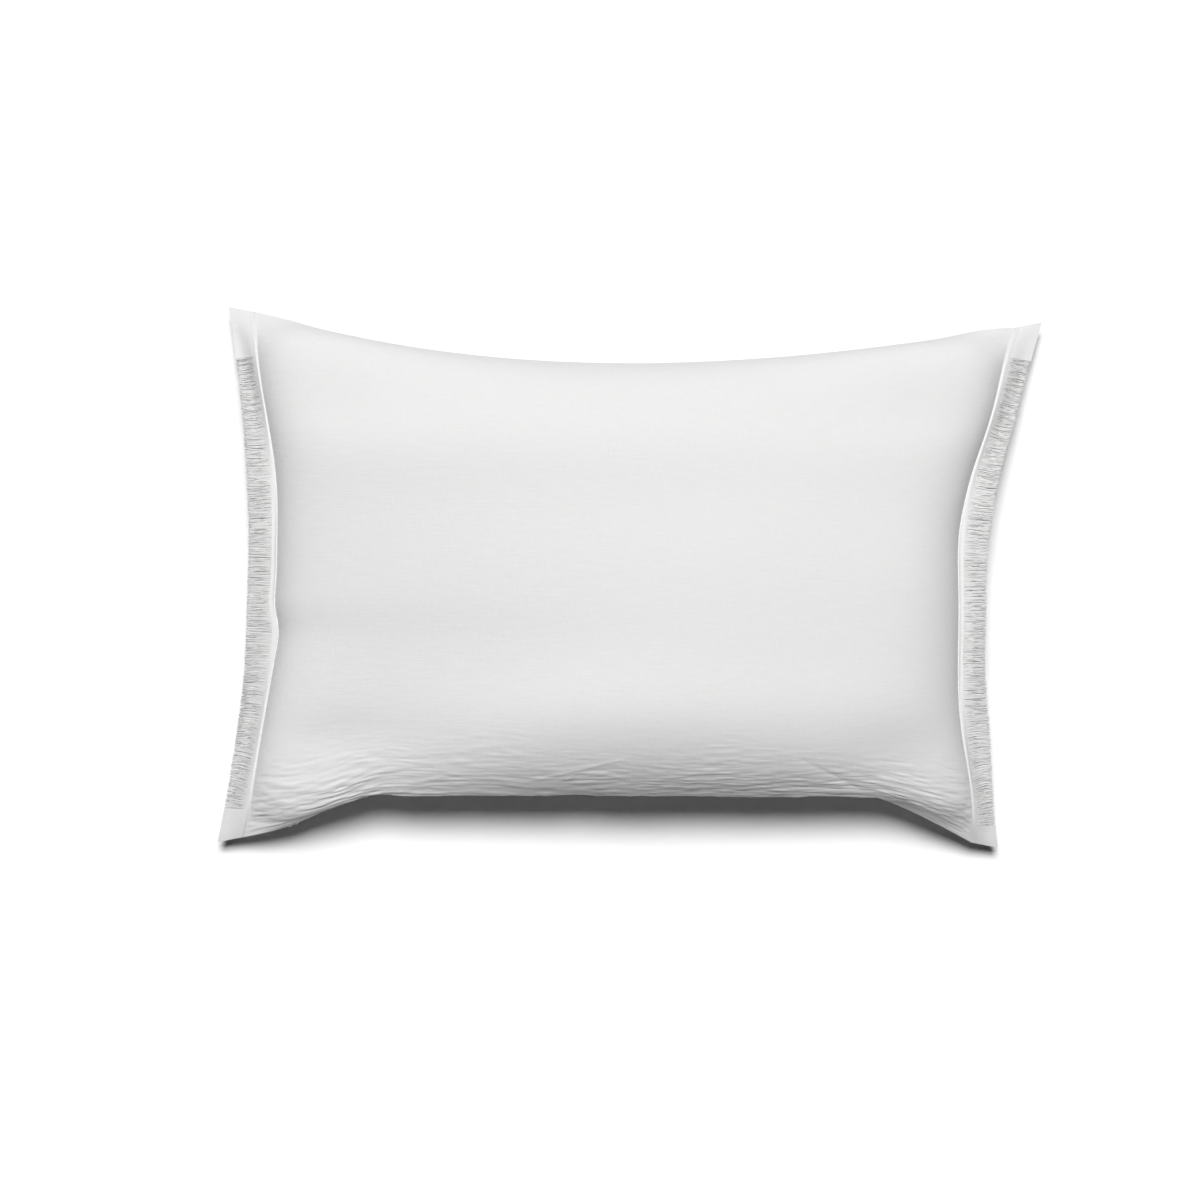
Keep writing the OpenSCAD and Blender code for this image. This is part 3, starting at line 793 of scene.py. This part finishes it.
THREAD_PITCH, THREAD_D = 0.00042, 0.00074
CLUMP = 0.0036                       # width of the tufts that the threads gather into
THREAD_POINTS = 12


def fringe(sx, layer, name):
    """Loose threads of one border of a panel: they leave the woven strip side by side and clump."""
    r = np.random.default_rng(100 + 10 * sx + layer)
    low, high = CORNER_CLOTH[sx, -1] - CUT_W / 2, CUT_W / 2 - CORNER_CLOTH[sx, 1]
    y = np.arange(low, high, THREAD_PITCH)
    n = len(y)
    y = y + r.normal(0, 0.12 * THREAD_PITCH, n)
    centres = np.cumsum(r.uniform(0.5, 1.5, int(1.3 * (high - low) / CLUMP))) * CLUMP + low - CLUMP
    nearest = centres[np.abs(y[:, None] - centres[None]).argmin(axis=1)]
    pull = r.uniform(0.0, 0.30, n) * (nearest - y)
    lean = 0.0010 * ripple_field(np.zeros(n), y, 0.1, 0.02, 51 + layer) + r.normal(0, 0.0004, n)
    stray = np.where(r.random(n) < 0.06, r.normal(0, 0.0028, n), 0)
    length = r.normal(0.985, 0.018, n) - np.where(r.random(n) < 0.08, r.uniform(0, 0.2, n), 0)
    height = r.uniform(0.0, 1.0, n)
    t = np.linspace(0, 1, THREAD_POINTS)[None]
    s = 0.09 + (np.clip(length, 0.6, 1.04)[:, None] - 0.09) * t
    crimp = 0.00010 * np.sin(t * r.uniform(60, 75, n)[:, None] + r.uniform(0, 6.3, n)[:, None])
    wander = 0.00035 * np.sin(t * r.uniform(3, 7, n)[:, None] + r.uniform(0, 6.3, n)[:, None]) * t
    place_y = y[:, None] + (pull + lean + stray)[:, None] * smooth(t * 1.2) + wander + crimp
    edge_y = CUT_W / 2 - 0.001
    lines = border_place(sx, np.minimum(s, 1.0), np.clip(place_y, -edge_y, edge_y))
    past = np.maximum(s - 1.0, 0) * BORDER_W
    lines[..., 0] += sx * past
    sign = 1 if layer == FRONT else -1
    rise = 0.0003 + 0.0006 * height[:, None] * np.sin(np.clip(t * 1.1, 0, 1) * math.pi * 0.8)
    lines[..., 2] += sign * rise + 0.3 * crimp
    return tubes(name, lines, THREAD_D / 2 * r.uniform(0.75, 1.15, n), sides=5)


fringes = {
    (sx, layer): fringe(sx, layer, f"{side}_fringe_{face}_threads")
    for sx, side in ((-1, "left"), (1, "right"))
    for layer, face in ((FRONT, "front"), (BACK, "back"))
}

# ---------------------------------------------------------------- sewing

STITCH, STITCH_D = 0.0030, 0.0005


def arc_points(line, spacing):
    """Points at even distances along a line."""
    run = np.concatenate([[0], np.cumsum(np.linalg.norm(np.diff(line, axis=0), axis=1))])
    at = np.arange(spacing, run[-1] - spacing, spacing)
    return np.stack([np.interp(at, run, line[:, k]) for k in range(3)], axis=1)


def stitches(line, up):
    """Stitches along a line: each rises from its hole, lies on the cloth and dips again."""
    ends = arc_points(line, STITCH)
    a, b = ends[:-1], ends[1:]
    t = np.array([0.04, 0.12, 0.3, 0.5, 0.7, 0.88, 0.96])
    rise = np.array([-0.5, 0.1, 0.55, 0.65, 0.55, 0.1, -0.5]) * STITCH_D
    lines = a[:, None] + (b - a)[:, None] * t[None, :, None]
    lines[..., 2] += up * rise
    return lines


def side_stitching(sx, name):
    y = np.linspace(-0.99, 0.99, 400) * CUT_W / 2
    s = np.full(len(y), 0.012)
    rows = []
    for sign in (1, -1):
        line = border_place(sx, s, y)
        line[:, 2] += sign * (LAYER_GAP * 0.35)
        rows.append(stitches(line, sign))
    return tubes(name, np.concatenate(rows), STITCH_D / 2, sides=6)


def seam_stitching(lines, name):
    rows = [stitches(line, 1) for line in lines]
    return tubes(name, np.concatenate(rows), STITCH_D / 2, sides=6)


left_stitching = side_stitching(-1, "left_side_stitches")
right_stitching = side_stitching(1, "right_side_stitches")
back_line = pocket[FRONT][2:-2, -1] * [1, 1, 1] - [0, 0.003, 0]
top_stitching = seam_stitching([back_line], "top_seam_stitches")
front_line = pocket[FRONT][2:-2, 0] + [0, 0.003, 0]
past_zip = np.abs(inner_x[2:-2] - ZIP_CUT_X) > ZIP_FLAT / 2 + 0.004
left_part = front_line[past_zip & (front_line[:, 0] < 0)]
right_part = front_line[past_zip & (front_line[:, 0] > 0)]
bottom_stitching = seam_stitching([left_part, right_part], "bottom_seam_stitches")

# ---------------------------------------------------------------- insert

INSERT_CELLS, INSERT_GAP = 2, 0.003
INSERT_FRONT, INSERT_BACK, INSERT_SIDE = 0.084, 0.030, 0.012  # how much narrower it is each way


def make_insert():
    """The filled insert: it stops a little short of the pocket's seams and behind the zip."""
    k = INSERT_CELLS
    middle = (pocket[FRONT] + pocket[BACK]) / 2
    half = np.linalg.norm(pocket[FRONT] - pocket[BACK], axis=2, keepdims=True) / 2
    shells = []
    for layer in (FRONT, BACK):
        grid = even_out(pocket[layer], 0.012, 0.012)
        share = np.clip(1 - 1.6 * INSERT_GAP / np.maximum(half, 1e-6), 0.03, 1.0)
        inner = middle + (grid - middle) * share
        inner[..., 1] *= np.where(inner[..., 1] < 0, 1 - INSERT_FRONT, 1 - INSERT_BACK)
        inner[..., 0] *= 1 - INSERT_SIDE
        shells.append(finer(finer(inner[k:-k, k:-k], 2, 0), 2, 1))
    ni, nj = shells[0].shape[:2]
    number = np.arange(ni * nj).reshape(ni, nj)
    rim = np.concatenate([number[:-1, 0], number[-1, :-1], number[:0:-1, -1], number[0, :0:-1]])
    nxt = np.roll(rim, -1)
    points = np.concatenate([shells[0].reshape(-1, 3), shells[1].reshape(-1, 3)])
    side = np.stack([rim, rim + ni * nj, nxt + ni * nj, nxt], axis=1)
    faces = np.concatenate([grid_faces(ni, nj, True), grid_faces(ni, nj, False) + ni * nj, side])
    return link("insert", points, faces)


insert = make_insert()

# ---------------------------------------------------------------- zip

coil_y = ZIP_Y + 0.0034
COIL_PITCH, COIL_WIRE = 0.0014, 0.0005


def zip_coil(side, name):
    """A coil wound from one bristle, beside the middle of the zip."""
    turns = int(ZIP_L / COIL_PITCH)
    t = np.linspace(0, turns, turns * 12 + 1)
    r = 0.0008 - COIL_WIRE / 2
    dz = 0.0008 + 0.0008
    line = np.stack([
        ZIP_X - ZIP_L / 2 + t / turns * ZIP_L,
        coil_y + r * np.cos(2 * math.pi * t),
        np.full(len(t), SEAM_Z + side * dz) + r * np.sin(2 * math.pi * t),
    ], axis=1)
    return tubes(name, line[None], COIL_WIRE / 2, sides=5)


def zip_tape(node, name):
    """A woven tape: a thin band that leans in beside its coil."""
    low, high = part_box(node)
    up = node.endswith("front")
    x = np.linspace(low[0], high[0], 201)
    t = np.linspace(0, 1, 9)
    foot_z, top_z = (low[2], high[2]) if up else (high[2], low[2])
    y = mix(low[1] + 0.0003, high[1] - 0.0003, t)
    z = mix(foot_z, top_z, t)
    grid = np.stack(np.broadcast_arrays(x[:, None], y[None], z[None]), -1)
    grid = grid + np.array([0, 0.00012, 0]) * np.sin(x * 2100)[:, None, None]
    uv = np.stack(np.broadcast_arrays(x[:, None], (t * 0.008)[None]), -1)
    return link(name, grid.reshape(-1, 3), grid_faces(len(x), len(t)), uv.reshape(-1, 2))


coil_front, coil_back = zip_coil(1, "zip_coil_front_wire"), zip_coil(-1, "zip_coil_back_wire")
tape_front = zip_tape("zip_tape_front", "zip_tape_front_cloth")
tape_back = zip_tape("zip_tape_back", "zip_tape_back_cloth")

# ---------------------------------------------------------------- label and loose ends

LABEL_L, LABEL_W = 0.030, 0.011


def case_label():
    """A blank label folded over and sewn into the back seam, inside the case."""
    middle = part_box("case_label")
    x0 = (middle[0][0] + middle[1][0]) / 2
    seam = pocket[FRONT][:, -1]
    y0, z0 = np.interp(x0, seam[:, 0], seam[:, 1]), np.interp(x0, seam[:, 0], seam[:, 2])
    x = x0 + np.linspace(-LABEL_L / 2, LABEL_L / 2, 13)
    turn = np.linspace(0, 1, 17)
    drop = LABEL_W * np.minimum(1, np.minimum(turn, 1 - turn) * 2.2)
    y = y0 - 0.006 - 0.0006 * np.sin(turn * math.pi) - np.where(turn > 0.5, 0.0006, 0)
    grid = np.stack(np.broadcast_arrays(x[:, None], y[None], (z0 - drop)[None]), -1)
    return link("case_label_cloth", grid.reshape(-1, 3), grid_faces(len(x), len(turn)),
                np.stack(np.broadcast_arrays(x[:, None], (turn * 0.022)[None]), -1).reshape(-1, 2))


label = case_label()


def loose_end(start, way, length, seed):
    """A thread end that curls away from a seam."""
    t = np.linspace(0, 1, 24)
    r = np.random.default_rng(seed)
    turn = r.uniform(2.0, 3.5) * np.sin(r.uniform(2.5, 4.0) * t) + r.uniform(-2, 2) * t * t
    step = length / len(t)
    heading = math.atan2(way[1], way[0]) + turn
    x = start[0] + np.cumsum(np.cos(heading)) * step
    y = start[1] + np.cumsum(np.sin(heading)) * step
    z = start[2] + 0.002 * np.sin(t * math.pi)
    return np.stack([x, y, z], axis=1)


corner_line = pocket[FRONT][:, 0]
ends = []
for x, way, length in ((-0.306, (0.6, -1), 0.012), (-0.299, (-0.4, -1), 0.010)):
    y, z = (np.interp(x, corner_line[:, 0], corner_line[:, k]) for k in (1, 2))
    start = [x, y, z + 0.002]
    ends.append(loose_end(start, way, length, int(1000 + x * 1000)))
loose = tubes("loose_thread_ends", np.stack(ends), 0.00025, sides=5)

# ---------------------------------------------------------------- materials


def new_material(name, color, roughness, sheen=0.0, metallic=0.0, specular=0.2):
    material = bpy.data.materials.new(name)
    material.use_nodes = True
    shader = material.node_tree.nodes["Principled BSDF"]
    shader.inputs["Base Color"].default_value = (*color, 1)
    shader.inputs["Roughness"].default_value = roughness
    shader.inputs["Metallic"].default_value = metallic
    shader.inputs["Sheen Weight"].default_value = sheen
    shader.inputs["Sheen Roughness"].default_value = 0.5
    shader.inputs["Specular IOR Level"].default_value = specular
    return material, material.node_tree, shader


def add_node(tree, kind, **inputs):
    """Adds a shader node; each input is a value or a (node, output) pair to link from."""
    made = tree.nodes.new(kind)
    for key, value in inputs.items():
        if isinstance(value, tuple) and hasattr(value[0], "outputs"):
            tree.links.new(value[0].outputs[value[1]], made.inputs[key])
        else:
            made.inputs[key].default_value = value
    return made


def maths(tree, operation, a, b=None):
    made = tree.nodes.new("ShaderNodeMath")
    made.operation = operation
    for socket, value in ((made.inputs[0], a), (made.inputs[1], b)):
        if isinstance(value, tuple):
            tree.links.new(value[0].outputs[value[1]], socket)
        elif value is not None:
            socket.default_value = value
    return (made, 0)


YARN = 0.00075                       # pitch of the linen's yarns


def woven_material(name, dark, light, yarn, bump_height, slub):
    """Plain weave with slubs, laid out on the flat cloth so that it follows every fold."""
    material, tree, shader = new_material(name, light, 0.92, sheen=0.1)
    place = tree.nodes.new("ShaderNodeUVMap")
    place.uv_map = "flat"
    split = add_node(tree, "ShaderNodeSeparateXYZ", Vector=(place, 0))
    waves = [
        maths(tree, "SINE", maths(tree, "MULTIPLY", (split, axis), math.pi / yarn)) for axis in (0, 1)
    ]
    rise = maths(tree, "GREATER_THAN", maths(tree, "MULTIPLY", *waves), 0.0)
    fall = maths(tree, "SUBTRACT", 1.0, rise)
    weave = maths(tree, "ADD", maths(tree, "MULTIPLY", rise, maths(tree, "ABSOLUTE", waves[0])),
                  maths(tree, "MULTIPLY", fall, maths(tree, "ABSOLUTE", waves[1])))
    slubs = []
    for scale in ((45, 800, 1), (1400, 90, 1)):
        stretch = add_node(tree, "ShaderNodeMapping", Vector=(place, 0), Scale=scale)
        noise = add_node(tree, "ShaderNodeTexNoise", Vector=(stretch, 0), Scale=1.0, Detail=2.0)
        slubs.append((noise, 0))
    uneven = maths(tree, "ADD", *slubs)
    yarns, lumps = maths(tree, "MULTIPLY", weave, 0.5), maths(tree, "MULTIPLY", uneven, slub)
    height = maths(tree, "ADD", yarns, lumps)
    bump = add_node(tree, "ShaderNodeBump", Strength=0.5, Distance=bump_height, Height=height)
    tree.links.new(bump.outputs["Normal"], shader.inputs["Normal"])
    tint = add_node(tree, "ShaderNodeMapRange", Value=uneven)
    tint.inputs["From Min"].default_value, tint.inputs["From Max"].default_value = 0.7, 1.3
    ramp = tree.nodes.new("ShaderNodeMix")
    ramp.data_type = "RGBA"
    ramp.inputs[6].default_value, ramp.inputs[7].default_value = (*dark, 1), (*light, 1)
    tree.links.new(tint.outputs[0], ramp.inputs[0])
    tree.links.new(ramp.outputs[2], shader.inputs["Base Color"])
    return material


def thread_material(name, dark, light):
    """Spun yarn: each thread of a mesh is a little lighter or darker than the next."""
    material, tree, shader = new_material(name, light, 0.9, sheen=0.1)
    island = tree.nodes.new("ShaderNodeNewGeometry")
    ramp = tree.nodes.new("ShaderNodeMix")
    ramp.data_type = "RGBA"
    ramp.inputs[6].default_value, ramp.inputs[7].default_value = (*dark, 1), (*light, 1)
    tree.links.new(island.outputs["Random Per Island"], ramp.inputs[0])
    tree.links.new(ramp.outputs[2], shader.inputs["Base Color"])
    return material


linen = woven_material("linen", (0.625, 0.625, 0.623), (0.655, 0.655, 0.653), YARN, 0.00022, 1.1)
ticking = woven_material("ticking", (0.66, 0.66, 0.65), (0.70, 0.70, 0.69), 0.0003, 0.0001, 0.3)
tape_cloth = woven_material("zip_tape", (0.66, 0.66, 0.66), (0.70, 0.70, 0.70), 0.0006, 0.0001, 0.2)
threads = thread_material("linen_threads", (0.56, 0.56, 0.557), (0.62, 0.62, 0.616))
sewing = thread_material("sewing_thread", (0.66, 0.66, 0.66), (0.70, 0.70, 0.70))
coil_plastic, _, _ = new_material("coil_plastic", (0.68, 0.68, 0.68), 0.4, specular=0.5)
white_metal, _, _ = new_material("white_metal", (0.66, 0.66, 0.66), 0.35, specular=0.5)
label_cloth, _, _ = new_material("label_cloth", (0.70, 0.70, 0.70), 0.7)


def dress(piece, material, slot, *nodes):
    """Gives a piece its material; slot is not used. When CAD nodes are given, it attaches the piece
    to the pillow body and hides those nodes.
    """
    piece.data.materials.clear()
    piece.data.materials.append(material)
    if nodes:
        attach(piece, "pillow")
        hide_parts(*nodes)


dress(case_front, linen, "linen", "case_front")
dress(case_back, linen, "linen", "case_back")
dress(insert, ticking, "ticking",
      "fill_core", "ticking_front", "ticking_back", "ticking_stitching", "ticking_label")
for (sx, layer), piece in fringes.items():
    node = ("left" if sx < 0 else "right") + "_fringe_" + ("front" if layer == FRONT else "back")
    dress(piece, threads, "linen_threads", node)
dress(left_stitching, sewing, "thread", "left_side_stitching")
dress(right_stitching, sewing, "thread", "right_side_stitching")
dress(top_stitching, sewing, "thread", "top_seam_stitching")
dress(bottom_stitching, sewing, "thread", "bottom_seam_stitching")
dress(coil_front, coil_plastic, "zip_coil", "zip_coil_front")
dress(coil_back, coil_plastic, "zip_coil", "zip_coil_back")
dress(tape_front, tape_cloth, "zip_tape", "zip_tape_front")
dress(tape_back, tape_cloth, "zip_tape", "zip_tape_back")
dress(label, label_cloth, "label", "case_label")
dress(loose, threads, "linen_threads")
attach(loose, "pillow")
for node in ("zip_top_stop", "zip_bottom_stop", "zip_slider", "zip_pull"):
    dress(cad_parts[node], white_metal, "zip_metal")

# ---------------------------------------------------------------- studio

VIEW_W = 1.0716                     # width of the view at the height of the seams
LOOK_AT = (-0.0268, -0.0205)
CAMERA_H = 4.5
SEAM_LEVEL = 0.07
WORLD_LIGHT = 0.003
KEY_TILT, KEY_LEAN, KEY_SOFTNESS = math.radians(20), math.radians(1), math.radians(20)
KEY_STRENGTH = 4.25


def studio():
    size = 8.0
    ground = link("floor", [(-size, -size, 0), (size, -size, 0), (size, size, 0), (-size, size, 0)],
                  [(0, 1, 2, 3)])
    material, _, _ = new_material("floor", (0.80, 0.80, 0.80), 0.9)
    ground.data.materials.append(material)
    ground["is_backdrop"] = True

    world = bpy.data.worlds.new("studio")
    bpy.context.scene.world = world
    world.use_nodes = True
    world.node_tree.nodes["Background"].inputs["Color"].default_value = (0.97, 0.985, 1.0, 1)
    world.node_tree.nodes["Background"].inputs["Strength"].default_value = WORLD_LIGHT

    key = bpy.data.lights.new("key", "SUN")
    key.energy = KEY_STRENGTH
    key.angle = KEY_SOFTNESS
    lamp = bpy.data.objects.new("key", key)
    bpy.context.scene.collection.objects.link(lamp)
    lamp.location = (0, 2, 5)
    lamp.rotation_euler = (-KEY_TILT, -KEY_LEAN, 0)

    camera = bpy.data.cameras.new("camera")
    camera.sensor_width = 36
    camera.lens = 36 * (CAMERA_H - SEAM_LEVEL) / VIEW_W
    camera.clip_end = 50
    eye = bpy.data.objects.new("camera", camera)
    bpy.context.scene.collection.objects.link(eye)
    eye.location = (*LOOK_AT, CAMERA_H)
    bpy.context.scene.camera = eye
    bpy.context.scene.view_settings.view_transform = "Standard"


studio()
